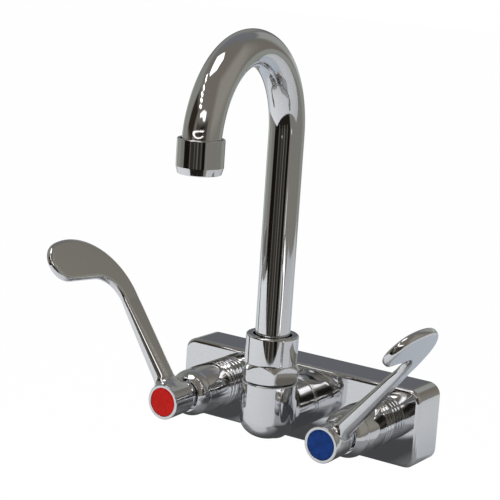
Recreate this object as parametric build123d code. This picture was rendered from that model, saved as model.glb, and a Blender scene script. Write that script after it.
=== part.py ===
"""Commercial wall faucet on 4 inch centres, with a rigid-swivel gooseneck and wrist-blade handles.

Units are millimetres.  The origin is the centre of the back face of the valve body, level with
the valve axes.  +X is to the right as seen from the front, +Y goes into the wall, +Z is up.
A turned piece is drawn as (radius, station) points and spun about its own axis.  Stations of
the valve pieces are distances in front of the wall, and those of the spout pieces are heights.
"""
import os
from math import acos, atan2, cos, hypot, pi, radians, sin, sqrt, tan

from build123d import *

# ---- driving dimensions --------------------------------------------------------------------
# valve body
valve_spacing = 101.6        # 4 inch centres between the two valve axes
body_length = 154.3
body_height = 43.6
body_depth = 23.6
body_corner = 7.0            # corner radius seen from the front
body_edge = 2.2              # round-over of the front face

# water ways
port_radius = 5.2            # inlet port under each cartridge
gallery_radius = 3.2         # mixing gallery from valve to valve
gallery_step = 0.8           # gallery in front of the cartridge bore's floor
outlet_bore = 6.5            # bore of the elbow and the spout ferrule
seat_floor = 13.5            # station of the floor under each cartridge
seat_wall = 4.0              # wall between that floor and the shank socket

# inlet shanks behind the body, 1/2 inch straight pipe thread
shank_radius = 10.48
shank_bore = 6.6
shank_length = 28.0          # free length behind the body
shank_relief_width = 1.2     # thread relief behind the locknut
shank_relief_depth = 0.6
shank_end_chamfer = 1.0
panel_gap = 3.0              # room left for the sink's back splash
locknut_across_flats = 28.0
locknut_thickness = 5.5
shank_washer_radius = 16.0
shank_washer_thickness = 1.6

# valve bonnets
boss_radius = 11.6
boss_length = 7.4
cartridge_bore = 10.0
bonnet_length = 36.7
bonnet_mid_radius = 13.65
bonnet_rear_radius = 13.35
bonnet_barrel_length = 27.4   # from the body to where the barrel turns into the nose
bonnet_shoulder_radius = 13.05
bonnet_nose_radius = 9.8
bonnet_wall = 2.3
bonnet_nose_wall = 0.9       # metal beside the nose's throat
bonnet_nose_bulge = 0.11     # crown of the nose, as a share of its length
bonnet_belly_set_back = 2.0  # widest place of the barrel behind its middle
bonnet_neck_radius = 5.4
bonnet_lip = 2.4
rib_count = 3
rib_pitch = 3.0
rib_depth = 0.8
rib_valley_share = 0.3       # shares of a pitch: end of the valley,
rib_rise_share = 0.5         # start of the crest
rib_crest_share = 0.85       # and end of the crest

# ceramic cartridges
sleeve_radius = 8.9
sleeve_wall = 1.5
flange_radius = 11.4
flange_thickness = 2.0
cartridge_hex = 18.0
cartridge_hex_length = 5.0
cartridge_neck_radius = 7.0
cartridge_neck_length = 15.0
disc_thickness = 2.6
disc_hole_radius = 1.6
disc_hole_offset = 3.6
seat_seal_height = 3.0
seat_seal_play = 0.2         # between the seal's hole and the disc's ports
sleeve_foot_gap = 1.0        # under the cartridge's sleeve
window_height = 3.0
window_width = 6.0

# stems
stem_radius = 4.0
stem_tongue = 3.4
stem_tongue_length = 4.2
stem_shoulder_thickness = 1.6
stem_core_radius = 4.9
stem_square = 6.0
tongue_bite = 0.9            # depth of the tongue in the moving disc
clip_thickness = 0.9
clip_width = 2.0
clip_mouth_share = 1.2       # mouth of the clip, as a share of its bore's radius
screw_hole_rest = 1.0        # thread left under the screw's end

# quarter-turn stops
handle_travel = 90.0
stop_lobe_angle = 44.0
stop_play = 1.0              # degrees left at each end of the travel

# wrist-blade handles
hub_gap = 2.4                # between the bonnet's nose and the hub
hub_length = 16.5
hub_front_radius = 9.75
hub_rear_radius = 9.35
hub_rim_chamfer = 0.4
arm_set_back = 0.9           # arm's back edge in front of the hub's rear face
handle_reach = 101.0         # from the valve axis to the tip, sold as 4 inch
arm_width = 12.0
arm_root_thickness = 8.2
blade_thickness = 4.6
blade_edge = 1.9
outer_bend = 39.2            # radius of the blade's back
inner_bend = 16.2            # radius of the hollow under the blade
blade_span = 41.0            # from that hollow's centre to the tip, along the arm
tip_radius = 11.4
tip_turn = 11.4              # degrees that the back goes past square before the tip begins
hot_angle = -33.5            # degrees clockwise from upright, seen from the front
cold_angle = 40.2
cap_radius = 8.0
cap_thickness = 2.0
cap_skirt_depth = 1.8
screw_head_radius = 3.6
screw_head_height = 2.4
screw_head_round = 0.7
screw_radius = 1.95
screw_length = 10.5
screw_web = 1.6              # hub metal under the screw head
screw_head_room = 1.4
screw_shank_room = 0.4
screw_key = 3.4              # across flats
screw_key_depth = 1.4
cap_skirt_wall = 0.9

# outlet elbow
spout_offset = 51.8          # spout axis in front of the wall
leg_radius = 14.7
seam_radius = 15.0
seam_width = 0.9
hub_radius = 14.9
hub_top = 18.0
dome_start = -3.0
dome_drop = 11.2
neck_radius = 11.95
neck_length = 9.4
socket_radius = 9.05
socket_depth = 20.5
spigot_radius = 8.95
spigot_overrun = 0.6         # spigot beyond the gallery
hub_top_chamfer = 0.5

# spout nut, turned from 1-1/8 inch hexagon bar
nut_across_flats = 28.6
nut_gap = 1.6                # between the elbow's shoulder and the nut
nut_hex_height = 8.6
nut_height = 24.6
nut_corner_drop = 3.0        # how far the top chamfer comes down at a corner
nut_turn = 11.7              # degrees from +X to a corner
nut_foot_chamfer = 1.2
nut_top_round = 1.2
nut_mouth_radius = 10.7
ferrule_flange_radius = 11.5
ferrule_flange_thickness = 2.8
ferrule_top_length = 9.5
swivel_washer_thickness = 1.0

# gooseneck
tube_radius = 9.5
tube_wall = 1.2
bend_height = 152.1          # height of the bend's centre
bend_radius = 47.0
outlet_drop = 5.6            # straight tube below the bend
spout_turn = 7.2             # degrees that the spout stands turned to the right

# aerator
aerator_radius = 11.5
aerator_cover = 6.2          # collar above the start of the bend
aerator_height = 17.0
aerator_chamfer = 1.3
aerator_lip = 1.0
aerator_mouth_radius = 8.6
aerator_bend_relief = 0.7    # room round the end of the bend
aerator_top_round = 0.5
aerator_washer_thickness = 1.2
insert_wall = 1.1
insert_hub_radius = 2.2
vane_thickness = 0.77
vane_count = 4               # plates through the middle
screen_thickness = 0.6
screen_hole_radius = 0.55
screen_pitch = 1.9

# seals
o_ring_section = 1.6
stem_o_ring_section = 1.05
groove_play = 0.05

# fits
running_gap = 0.05
face_gap = 0.05
loose_fit = 0.1              # round loose washers
shaft_room = 0.15            # round the stem's shoulder
free_fit = 0.2               # round parts that only turn
step_room = 0.1              # between the stem's shoulder and its housing
end_room = 0.2               # takes up the lengths' tolerances
ferrule_foot_gap = 0.4       # under the spout's spigot
past = 1.0                   # how far a cut or an added piece runs past the face that it meets

# ---- worked-out sizes ----------------------------------------------------------------------
valve_x = valve_spacing / 2
socket_floor = seat_floor - seat_wall
locknut_front = -panel_gap - shank_washer_thickness
locknut_back = locknut_front - locknut_thickness
boss_end = body_depth + boss_length
bonnet_end = body_depth + bonnet_length
bonnet_shoulder = body_depth + bonnet_barrel_length
inner_bend_reach = handle_reach - blade_span
hub_start = bonnet_end + hub_gap
hub_end = hub_start + hub_length
gallery_station = seat_floor + gallery_radius + gallery_step
spigot_length = body_depth - gallery_station + gallery_radius + spigot_overrun
sleeve_bore = sleeve_radius - sleeve_wall
disc_radius = sleeve_bore - running_gap
seal_top = seat_floor + seat_seal_height
fixed_top = seal_top + disc_thickness
moving_bottom = fixed_top + face_gap
moving_top = moving_bottom + disc_thickness
tongue_bottom = moving_top - tongue_bite + face_gap
tongue_top = tongue_bottom + stem_tongue_length
shoulder_top = tongue_top + stem_shoulder_thickness
cavity_top = shoulder_top + step_room
flange_top = boss_end + flange_thickness
hex_top = flange_top + cartridge_hex_length
cartridge_end = hex_top + cartridge_neck_length
clip_start = cartridge_end + face_gap
cap_start = hub_end - cap_thickness
head_start = cap_start - face_gap - screw_head_height
web_start = head_start - screw_web
stem_end = web_start - end_room
stop_rib_angle = 180 - handle_travel - stop_lobe_angle - 2 * stop_play
stop_rib_turn = (180 + handle_travel) / 2
tube_bore = tube_radius - tube_wall
neck_top = hub_top + neck_length
flange_bottom = neck_top + end_room
ferrule_flange_top = flange_bottom + ferrule_flange_thickness
washer_top = ferrule_flange_top + face_gap + swivel_washer_thickness
nut_bottom = hub_top + nut_gap
nut_radius = nut_across_flats / 2
nut_top = nut_bottom + nut_height
tube_bottom = ferrule_flange_top
tube_end = bend_height - outlet_drop
aerator_top = bend_height + aerator_cover
aerator_bottom = aerator_top - aerator_height


# ---- helpers -------------------------------------------------------------------------------
def turned(points):
    """Spin a closed outline of (radius, station) points about the local Z axis."""
    return revolve(make_face(Plane.XZ * Polyline(*points, close=True)), Axis.Z, 360)


def rod(radius, start, end):
    """A plain cylinder on the local Z axis."""
    return Pos(0, 0, start) * Cylinder(radius, end - start, align=(Align.CENTER, Align.CENTER, Align.MIN))


def ring(inner, outer, start, end):
    """A plain ring on the local Z axis."""
    return rod(outer, start, end) - rod(inner, start - past, end + past)


def hexagon(across_flats, start, end, turn=0.0):
    """A hexagonal prism on the local Z axis, with a corner on local X when turn is 0."""
    outline = Rot(0, 0, turn) * RegularPolygon(across_flats / 2, 6, major_radius=False)
    return Pos(0, 0, start) * extrude(outline, end - start)


def o_ring(shaft_radius, section, station):
    """A round seal that just fits in the groove of a shaft of this radius."""
    centre = shaft_radius - section / 2
    return Pos(0, 0, station) * Torus(centre, section / 2)


def groove(shaft_radius, section, station):
    """The cut for o_ring, with play on every side."""
    floor = shaft_radius - section - groove_play
    half = section / 2 + groove_play
    return ring(floor, shaft_radius + past, station - half, station + half)


def lobes(radius, angle, start, end):
    """Two opposite sectors of a disc, centred on local X."""
    far = 2 * radius
    half = far * tan(radians(angle / 2))
    wedges = make_face(Polyline((0, 0), (far, half), (far, -half), close=True))
    wedges += make_face(Polyline((0, 0), (-far, half), (-far, -half), close=True))
    return rod(radius, start, end) & Pos(0, 0, start) * extrude(wedges, end - start)


def across(radius, station, length):
    """A cylinder through the local Z axis at this station, along local X."""
    return Pos(0, 0, station) * Rot(0, 90, 0) * Cylinder(radius, length)


def on_valve(x, piece):
    """Place a piece drawn on local Z on the valve axis at x, pointing at the user."""
    return Plane(origin=(x, 0, 0), x_dir=(1, 0, 0), z_dir=(0, -1, 0)).location * piece


def on_spout(piece):
    """Place a piece drawn about local Z on the spout axis, turned with the spout."""
    return Pos(0, -spout_offset, 0) * Rot(0, 0, spout_turn) * piece


# ---- fixed body ----------------------------------------------------------------------------
def make_valve_body():
    """Cast block with two bosses, two cartridge bores, the gallery and the outlet bore."""
    block = extrude(Plane.XZ * RectangleRounded(body_length, body_height, body_corner), body_depth)
    front = block.faces().sort_by(Axis.Y)[0]
    block = fillet(front.edges(), body_edge)
    gallery = Pos(0, -gallery_station, 0) * Rot(0, 90, 0) * Cylinder(gallery_radius, valve_spacing)
    body = block
    for x in (-valve_x, valve_x):
        body += on_valve(x, rod(boss_radius, body_depth - past, boss_end))
    for x in (-valve_x, valve_x):
        body -= on_valve(x, rod(shank_radius + running_gap, -past, socket_floor))
        body -= on_valve(x, rod(port_radius, socket_floor - past, seat_floor + past))
        body -= on_valve(x, rod(cartridge_bore, seat_floor, boss_end + past))
    spigot_floor = body_depth - spigot_length - face_gap
    body -= on_valve(0, rod(spigot_radius + running_gap, spigot_floor, body_depth + past))
    return body - gallery


def make_shank():
    """Threaded supply shank, seated in the body's back, with a relief behind the locknut."""
    relief_end = locknut_back - end_room
    relief_start = relief_end - shank_relief_width
    relief_radius = shank_radius - shank_relief_depth
    seat = socket_floor - face_gap
    return turned([(shank_bore, -shank_length), (shank_radius - shank_end_chamfer, -shank_length),
                   (shank_radius, -shank_length + shank_end_chamfer), (shank_radius, relief_start),
                   (relief_radius, relief_start), (relief_radius, relief_end), (shank_radius, relief_end),
                   (shank_radius, seat), (shank_bore, seat)])


def make_shank_washer():
    """Steel washer that bears on the back of the sink's splash."""
    return ring(shank_radius + loose_fit, shank_washer_radius, locknut_front, -panel_gap)


def make_locknut():
    """Hexagon locknut on a shank."""
    nut = hexagon(locknut_across_flats, locknut_back, locknut_front)
    return nut - rod(shank_radius + running_gap, locknut_back - past, locknut_front + past)


# ---- valves --------------------------------------------------------------------------------
def make_bonnet():
    """Chromed bonnet: ribbed collar at the body, barrel, shoulder and rounded nose."""
    ribs_end = body_depth + rib_count * rib_pitch
    crest = bonnet_rear_radius
    root = crest - rib_depth
    outline = [(boss_radius + running_gap, body_depth + face_gap)]
    for i in range(rib_count):
        start = body_depth + face_gap + i * rib_pitch
        outline += [(root, start), (root, start + rib_valley_share * rib_pitch),
                    (crest, start + rib_rise_share * rib_pitch), (crest, start + rib_crest_share * rib_pitch)]
    edges = [Line(a, b) for a, b in zip(outline, outline[1:] + [(root, ribs_end)])]
    barrel_start = (crest, ribs_end + rib_depth / 2)
    barrel_mid = (bonnet_mid_radius, (ribs_end + bonnet_shoulder) / 2 - bonnet_belly_set_back)
    shoulder = (bonnet_shoulder_radius, bonnet_shoulder)
    nose = (bonnet_nose_radius, bonnet_end)
    bulge = bonnet_nose_bulge * hypot(nose[0] - shoulder[0], nose[1] - shoulder[1])
    nose_mid = ((shoulder[0] + nose[0]) / 2 + bulge, (shoulder[1] + nose[1]) / 2)
    cavity = bonnet_shoulder_radius - bonnet_wall
    throat = bonnet_nose_radius - bonnet_nose_wall
    throat_start = bonnet_shoulder - past
    inside = [nose, (bonnet_neck_radius, bonnet_end), (bonnet_neck_radius, bonnet_end - bonnet_lip),
              (throat, bonnet_end - bonnet_lip), (throat, throat_start), (cavity, throat_start),
              (cavity, flange_top + face_gap), (boss_radius + running_gap, flange_top + face_gap), outline[0]]
    edges += [Line((root, ribs_end), barrel_start), ThreePointArc(barrel_start, barrel_mid, shoulder),
              ThreePointArc(shoulder, nose_mid, nose)]
    edges += [Line(a, b) for a, b in zip(inside, inside[1:])]
    return revolve(make_face(Plane.XZ * (Curve() + edges)), Axis.Z, 360)


def make_cartridge_housing(opening):
    """Brass cartridge housing: windowed sleeve with stop ribs, sealed pilot, flange, hexagon and neck."""
    pilot = cartridge_bore - running_gap
    sleeve_end = seat_floor + sleeve_foot_gap
    body = rod(sleeve_radius, sleeve_end, cavity_top) + rod(pilot, cavity_top, boss_end)
    body += rod(flange_radius, boss_end, flange_top) + hexagon(cartridge_hex, flange_top, hex_top)
    body += rod(cartridge_neck_radius, hex_top, cartridge_end)
    body -= rod(sleeve_bore, sleeve_end - past, cavity_top)
    body -= rod(stem_radius + running_gap, cavity_top - past, cartridge_end + past)
    window = Pos(0, 0, tongue_top - window_height / 2)
    body -= window * Box(window_width, 2 * cartridge_bore, window_height)
    ribs = lobes(sleeve_bore + sleeve_wall / 2, stop_rib_angle, tongue_top + step_room, cavity_top)
    ribs -= rod(stem_core_radius + shaft_room, tongue_top, cavity_top)
    body += Rot(0, 0, opening * stop_rib_turn) * ribs
    return body - groove(pilot, o_ring_section, (cavity_top + boss_end) / 2)


def make_housing_o_ring():
    """Seal between the cartridge and the body."""
    return o_ring(cartridge_bore - running_gap, o_ring_section, (cavity_top + boss_end) / 2)


def make_seat_seal():
    """Rubber seal between the port and the fixed disc."""
    inner = disc_hole_offset + disc_hole_radius + seat_seal_play
    return ring(inner, disc_radius, seat_floor + face_gap, seal_top)


def make_fixed_disc():
    """Fixed ceramic disc with two ports side by side."""
    disc = rod(disc_radius, seal_top, fixed_top)
    for side in (-1, 1):
        disc -= Pos(side * disc_hole_offset, 0, 0) * rod(disc_hole_radius, seal_top - past, fixed_top + past)
    return disc


def make_moving_disc():
    """Moving ceramic disc, shut a quarter turn from the fixed ports, with the tongue's slot."""
    disc = rod(disc_radius - running_gap, moving_bottom, moving_top)
    hole = rod(disc_hole_radius, moving_bottom - past, moving_top + past)
    for side in (-1, 1):
        disc -= Pos(0, side * disc_hole_offset, 0) * hole
    slot = Box(4 * disc_radius, stem_tongue + loose_fit, 2 * tongue_bite)
    return disc - Pos(0, 0, moving_top) * slot


def make_stem():
    """Stem: tongue, thrust shoulder, sealed shaft, clip groove, square end and tapped hole."""
    shoulder_radius = disc_radius - free_fit
    long_side = 2 * sqrt(shoulder_radius ** 2 - (stem_tongue / 2) ** 2)
    tongue_mid = (tongue_bottom + tongue_top) / 2
    stem = Pos(0, 0, tongue_mid) * Box(long_side, stem_tongue, tongue_top - tongue_bottom)
    stem += lobes(shoulder_radius, stop_lobe_angle, tongue_top, shoulder_top)
    stem += rod(stem_core_radius, tongue_top, shoulder_top)
    square_start = bonnet_end + hub_gap / 2
    stem += rod(stem_radius, shoulder_top, square_start)
    square = Pos(0, 0, (square_start + stem_end) / 2) * Box(stem_square, stem_square, stem_end - square_start)
    stem += square & rod(stem_radius, square_start, stem_end)
    stem -= groove(stem_radius, stem_o_ring_section, (hex_top + cartridge_end) / 2)
    clip_end = clip_start + clip_thickness + face_gap
    stem -= ring(stem_radius - clip_width / 2, stem_radius + past, clip_start, clip_end)
    hole_depth = screw_length - screw_web + screw_hole_rest
    return stem - rod(screw_radius + running_gap, stem_end - hole_depth, stem_end + past)


def make_stem_o_ring():
    """Seal on the stem inside the cartridge neck."""
    return o_ring(stem_radius, stem_o_ring_section, (hex_top + cartridge_end) / 2)


def make_stem_clip():
    """Open spring ring that keeps the stem in its housing."""
    inner = stem_radius - clip_width / 2 + running_gap
    clip = ring(inner, inner + clip_width, clip_start, clip_start + clip_thickness)
    mouth = Box(inner * clip_mouth_share, 2 * stem_radius, 4 * clip_thickness)
    return clip - Pos(0, stem_radius, clip_start) * mouth


# ---- handles -------------------------------------------------------------------------------
def blade_outline():
    """Side view of the arm and blade, as (distance from the valve axis, station)."""
    back = hub_start + arm_set_back
    front = back + arm_width
    outer = (handle_reach - outer_bend, back + outer_bend)
    turn = radians(tip_turn)
    tip = (outer[0] + (outer_bend - tip_radius) * cos(turn), outer[1] + (outer_bend - tip_radius) * sin(turn))
    inner = (inner_bend_reach, front + inner_bend)
    away = (tip[0] - inner[0], tip[1] - inner[1])
    lean = atan2(away[1], away[0]) - acos((inner_bend + tip_radius) / hypot(*away))

    def on(centre, radius, angle):
        return (centre[0] + radius * cos(angle), centre[1] + radius * sin(angle))

    def arc(centre, radius, first, last):
        return ThreePointArc(on(centre, radius, first), on(centre, radius, (first + last) / 2),
                             on(centre, radius, last))

    edges = [Line((0, back), (outer[0], back)),
             arc(outer, outer_bend, -pi / 2, turn),
             arc(tip, tip_radius, turn, pi + lean),
             Line(on(tip, tip_radius, pi + lean), on(inner, inner_bend, lean)),
             arc(inner, inner_bend, lean, -pi / 2),
             Line((inner[0], front), (0, front)),
             Line((0, front), (0, back))]
    return edges


def make_handle():
    """Wrist-blade handle: drilled hub, tapering arm and a teardrop blade bent to the user."""
    side_view = make_face(Plane.YZ * (Curve() + blade_outline()))
    plate = extrude(side_view, arm_root_thickness, both=True)
    root, blade = arm_root_thickness / 2, blade_thickness / 2
    taper_end = inner_bend_reach
    reach = handle_reach + past
    front_view = Polyline((-root, 0), (root, 0), (root, hub_rear_radius), (blade, taper_end), (blade, reach),
                          (-blade, reach), (-blade, taper_end), (-root, hub_rear_radius), close=True)
    plate &= extrude(make_face(front_view), hub_end + handle_reach)
    rim = [e for e in plate.edges() if abs(e.center().X) > blade - running_gap and e.center().Y > running_gap]
    plate = fillet(rim, blade_edge)
    hub = turned([(0, hub_start), (hub_rear_radius, hub_start), (hub_front_radius, hub_end), (0, hub_end)])
    hub = chamfer(hub.edges().sort_by(Axis.Z)[-1], hub_rim_chamfer)
    recess = rod(cap_radius + running_gap, cap_start, hub_end + past)
    recess += rod(screw_head_radius + screw_head_room, head_start, cap_start + past)
    recess += rod(screw_radius + screw_shank_room, web_start - past, head_start + past)
    socket = stem_square + loose_fit
    square = Pos(0, 0, web_start) * Box(socket, socket, 2 * (web_start - hub_start))
    square &= rod(hub_rear_radius, hub_start - past, web_start)
    return plate + hub - recess - square


def make_handle_screw():
    """Pan-head screw that holds the handle on its stem, with a hexagon recess."""
    head = rod(screw_head_radius, head_start, head_start + screw_head_height)
    head = fillet(head.edges().sort_by(Axis.Z)[-1], screw_head_round)
    shank = rod(screw_radius, head_start - screw_length, head_start)
    head_top = head_start + screw_head_height
    key = hexagon(screw_key, head_top - screw_key_depth, head_top + past)
    return head + shank - key


def make_index_cap():
    """Coloured index button with a skirt that grips the recess round the screw head."""
    disc = rod(cap_radius, cap_start, hub_end)
    skirt_outer = screw_head_radius + screw_head_room - running_gap
    return disc + ring(skirt_outer - cap_skirt_wall, skirt_outer, cap_start - cap_skirt_depth, cap_start)


# ---- outlet elbow, nut and spout -----------------------------------------------------------
def make_outlet_elbow():
    """Elbow from the body's outlet bore up to the spout socket, with a domed foot."""
    dome = EllipticalCenterArc((0, dome_start), hub_radius, dome_drop, start_angle=270, arc_size=90)
    walls = Polyline((hub_radius, dome_start), (hub_radius, hub_top - hub_top_chamfer),
                     (hub_radius - hub_top_chamfer, hub_top), (neck_radius, hub_top), (neck_radius, neck_top),
                     (0, neck_top), (0, dome_start - dome_drop))
    profile = make_face(Plane.XZ * (Curve() + [dome, walls]))
    elbow = Pos(0, -spout_offset, 0) * revolve(profile, Axis.Z, 360)
    leg = rod(leg_radius, body_depth, spout_offset) + rod(seam_radius, body_depth, body_depth + seam_width)
    leg += rod(spigot_radius, body_depth - spigot_length, body_depth + past)
    elbow += on_valve(0, leg)
    socket_floor_z = neck_top - socket_depth
    elbow -= Pos(0, -spout_offset, 0) * rod(socket_radius, socket_floor_z, neck_top + past)
    elbow -= Pos(0, -spout_offset, 0) * rod(outlet_bore, 0, neck_top)
    elbow -= on_valve(0, rod(outlet_bore, body_depth - spigot_length - past, spout_offset))
    elbow -= Pos(0, -spout_offset, 0) * Sphere(outlet_bore)
    elbow -= on_valve(0, across(gallery_radius, gallery_station, 4 * spigot_radius))
    return elbow - on_valve(0, groove(spigot_radius, o_ring_section, body_depth - o_ring_section))


def make_elbow_o_ring():
    """Seal between the elbow's spigot and the body."""
    return on_valve(0, o_ring(spigot_radius, o_ring_section, body_depth - o_ring_section))


def make_spout_nut():
    """Nut that holds the spout down: hexagon foot, round barrel and a bored mouth."""
    corner = nut_radius / cos(pi / 6)
    hex_end = nut_bottom + nut_hex_height
    flats = hexagon(nut_across_flats, nut_bottom, hex_end, nut_turn)
    cone = turned([(0, nut_bottom), (nut_radius, nut_bottom), (corner, nut_bottom + nut_foot_chamfer),
                   (corner, hex_end - nut_corner_drop), (nut_radius, hex_end), (0, hex_end)])
    barrel = rod(nut_radius, hex_end - past, nut_top)
    barrel = fillet(barrel.edges().sort_by(Axis.Z)[-1], nut_top_round)
    nut = (flats & cone) + barrel
    nut -= rod(neck_radius + running_gap, nut_bottom - past, washer_top + face_gap)
    return Pos(0, -spout_offset, 0) * (nut - rod(nut_mouth_radius, nut_bottom, nut_top + past))


def ferrule_seal_stations():
    """Heights of the two seals on the spout's lower end."""
    spread = socket_depth / 4
    middle = neck_top - socket_depth / 2
    return (middle - spread, middle + spread)


def make_spout_ferrule():
    """Turned lower end of the spout: sealed spigot, thrust flange and the tube's seat."""
    spigot = socket_radius - running_gap
    bottom = neck_top - socket_depth + ferrule_foot_gap
    ferrule = rod(spigot, bottom, flange_bottom + past)
    ferrule += rod(ferrule_flange_radius, flange_bottom, ferrule_flange_top)
    top = ferrule_flange_top + ferrule_top_length
    ferrule += rod(tube_bore - running_gap, ferrule_flange_top - past, top)
    ferrule -= rod(outlet_bore, bottom - past, top + past)
    for station in ferrule_seal_stations():
        ferrule -= groove(spigot, o_ring_section, station)
    return on_spout(ferrule)


def make_spout_o_rings():
    """The two seals on the ferrule."""
    rings = [o_ring(socket_radius - running_gap, o_ring_section, s) for s in ferrule_seal_stations()]
    return on_spout(Compound(children=rings))


def make_swivel_washer():
    """Slippery washer between the ferrule's flange and the nut."""
    start = ferrule_flange_top + face_gap
    return on_spout(ring(tube_radius + running_gap, ferrule_flange_radius, start, washer_top))


def make_spout_tube():
    """Gooseneck tube: riser, half-circle bend and a short drop to the aerator."""
    rise = Line((0, 0, tube_bottom), (0, 0, bend_height))
    bend = ThreePointArc((0, 0, bend_height), (0, -bend_radius, bend_height + bend_radius),
                         (0, -2 * bend_radius, bend_height))
    drop = Line((0, -2 * bend_radius, bend_height), (0, -2 * bend_radius, tube_end))
    section = Circle(tube_radius) - Circle(tube_bore)
    return on_spout(sweep(Pos(0, 0, tube_bottom) * section, path=Curve() + [rise, bend, drop]))


def on_outlet(piece):
    """Place a piece drawn about local Z on the axis of the spout's outlet."""
    return on_spout(Pos(0, -2 * bend_radius, 0) * piece)


def make_aerator_housing():
    """Chromed aerator collar with a chamfered foot and a lip that carries the insert."""
    seat = aerator_bottom + aerator_lip
    shell = rod(aerator_radius, aerator_bottom, aerator_top)
    shell = chamfer(shell.edges().sort_by(Axis.Z)[0], aerator_chamfer)
    shell = fillet(shell.edges().sort_by(Axis.Z)[-1], aerator_top_round)
    shell -= rod(aerator_mouth_radius, aerator_bottom - past, seat + past)
    shell -= rod(tube_radius + running_gap, seat, bend_height)
    return on_outlet(shell - rod(tube_radius + aerator_bend_relief, bend_height - past, aerator_top + past))


def make_aerator_screen():
    """Fine stainless screen across the mouth."""
    start = aerator_bottom + aerator_lip
    disc = rod(tube_radius - running_gap, start, start + screen_thickness)
    hole = rod(screen_hole_radius, start - past, start + screen_thickness + past)
    reach = int(aerator_mouth_radius / screen_pitch)
    holes = []
    for i in range(-reach, reach + 1):
        for j in range(-reach, reach + 1):
            x = (i + (j % 2) / 2) * screen_pitch
            y = j * screen_pitch * cos(pi / 6)
            if hypot(x, y) < aerator_mouth_radius - screen_hole_radius:
                holes.append(Pos(x, y, 0) * hole)
    return on_outlet(disc - holes)


def make_aerator_insert():
    """Plastic aerator core: a ring, a hub and eight vanes."""
    start = aerator_bottom + aerator_lip + screen_thickness
    end = tube_end - aerator_washer_thickness
    outer = tube_radius - running_gap
    core = ring(outer - insert_wall, outer, start, end) + rod(insert_hub_radius, start, end)
    vane = Box(2 * outer - insert_wall, vane_thickness, end - start)
    for i in range(vane_count):
        core += Rot(0, 0, 180 / vane_count * i) * Pos(0, 0, (start + end) / 2) * vane
    return on_outlet(core)


def make_aerator_washer():
    """Flat washer between the insert and the end of the tube."""
    start = tube_end - aerator_washer_thickness
    return on_outlet(ring(tube_bore, tube_radius - running_gap, start, tube_end))


# ---- write every piece ---------------------------------------------------------------------
pieces = {
    "valve_body": make_valve_body(),
    "outlet_elbow": make_outlet_elbow(),
    "elbow_o_ring": make_elbow_o_ring(),
    "spout_nut": make_spout_nut(),
    "swivel_washer": make_swivel_washer(),
    "spout_ferrule": make_spout_ferrule(),
    "spout_o_rings": make_spout_o_rings(),
    "spout_tube": make_spout_tube(),
    "aerator_housing": make_aerator_housing(),
    "aerator_screen": make_aerator_screen(),
    "aerator_insert": make_aerator_insert(),
    "aerator_washer": make_aerator_washer(),
}
shank_makers = {"shank": make_shank, "shank_washer": make_shank_washer, "locknut": make_locknut}
valve_makers = {
    "bonnet": make_bonnet, "housing_o_ring": make_housing_o_ring, "seat_seal": make_seat_seal,
    "fixed_disc": make_fixed_disc, "moving_disc": make_moving_disc, "stem": make_stem,
    "stem_o_ring": make_stem_o_ring, "stem_clip": make_stem_clip, "handle": make_handle,
    "handle_screw": make_handle_screw, "index_cap": make_index_cap,
}
for side, x, angle, opening in (("hot", -valve_x, hot_angle, 1), ("cold", valve_x, cold_angle, -1)):
    for name, maker in shank_makers.items():
        pieces[f"{side}_{name}"] = on_valve(x, maker())
    for name, maker in valve_makers.items():
        pieces[f"{side}_{name}"] = on_valve(x, Rot(0, 0, -angle) * maker())
    pieces[f"{side}_cartridge_housing"] = on_valve(x, Rot(0, 0, -angle) * make_cartridge_housing(opening))

os.makedirs("parts", exist_ok=True)
for name, shape in pieces.items():
    export_step(shape, f"parts/{name}.step")
print(len(pieces), "pieces")
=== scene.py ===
"""Commercial wall faucet: the dressed model, its studio and its camera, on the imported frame.

Blender lengths are metres.  The surfaces below are worked out in millimetres, as the part's own
sizes are, and scaled once when a mesh is made.  +X is right seen from the front, +Y goes into the
wall and +Z is up.  A turned piece is drawn as (radius, station) corners, most with the radius of
their rounding as a third number.  Stations of the valve pieces are distances in front of the wall,
and those of the spout pieces are heights.
"""
from math import radians

import bpy
import numpy as np
from mathutils import Matrix, Vector


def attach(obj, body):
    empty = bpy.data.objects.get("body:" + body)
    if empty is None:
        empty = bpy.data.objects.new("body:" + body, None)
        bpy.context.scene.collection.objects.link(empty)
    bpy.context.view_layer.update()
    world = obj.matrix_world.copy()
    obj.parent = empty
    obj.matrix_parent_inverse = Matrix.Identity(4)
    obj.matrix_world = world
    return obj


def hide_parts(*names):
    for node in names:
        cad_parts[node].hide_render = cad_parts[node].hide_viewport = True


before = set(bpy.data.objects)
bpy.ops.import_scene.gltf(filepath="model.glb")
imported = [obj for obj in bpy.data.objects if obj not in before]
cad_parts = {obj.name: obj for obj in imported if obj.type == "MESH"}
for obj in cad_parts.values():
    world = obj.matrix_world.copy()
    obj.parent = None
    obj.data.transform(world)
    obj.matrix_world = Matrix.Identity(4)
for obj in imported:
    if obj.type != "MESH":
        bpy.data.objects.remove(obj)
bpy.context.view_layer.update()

MM = 0.001

# ---- sizes, in millimetres, mostly those of the part's source ---------------------------------
# body, valves and spout
body_depth = 23.6
valve_x = 50.8               # from the middle to each valve axis
hot_angle = -33.5            # degrees that the handles are turned away from upright
cold_angle = 40.2
spout_offset = 51.8          # from the wall to the spout's upright axis
spout_turn = 7.2             # degrees that the spout is turned away from straight ahead
bend_radius = 47.0
outlet_bore = 6.5               # radius of the elbow's bores

# supply side, behind the body
panel_gap = 3.0
shank_washer_thickness = 1.6
locknut_thickness = 5.5

# hub of a wrist-blade handle
hub_rear, hub_front = 62.7, 79.2
hub_rear_radius, hub_front_radius = 9.35, 9.75
button_radius, button_seat = 7.95, 77.25

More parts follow.
